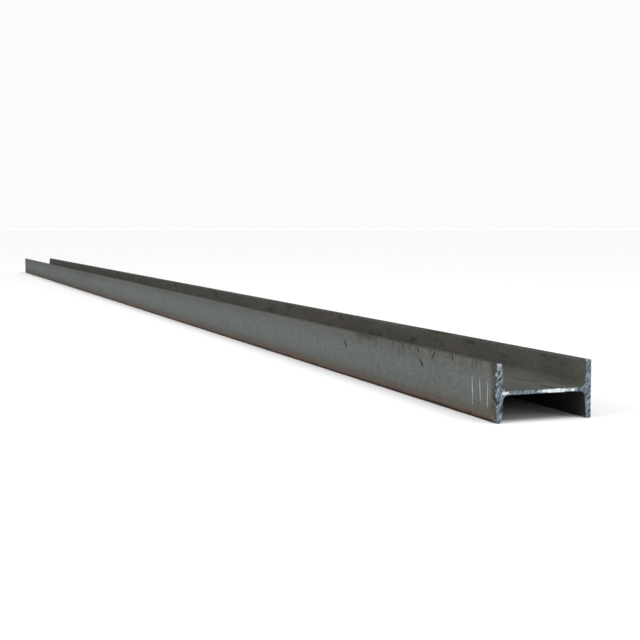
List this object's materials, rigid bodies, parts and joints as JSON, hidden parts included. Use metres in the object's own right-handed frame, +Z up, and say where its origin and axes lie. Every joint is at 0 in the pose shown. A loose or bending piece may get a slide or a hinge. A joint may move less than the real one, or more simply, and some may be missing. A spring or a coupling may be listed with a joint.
{
  "type": "steel i-beam",
  "caption": "Hot-rolled steel I-beam with tapered flange faces, lying on its flange toes, square sawn at both ends.",
  "frame": {"origin": "middle of the length, midway between the flanges, level with the lower flange toes", "axes": "+Y along the length, +X across the section's depth from flange to flange, +Z up, square to the web"},
  "size_m": [0.16, 6, 0.088],
  "materials": {
    "rolled_steel": "grey mill scale with light rust at the edges, bright sawn ends"
  },
  "bodies": {
    "root": {"i_beam": "rolled_steel"}
  },
  "joints": []
}
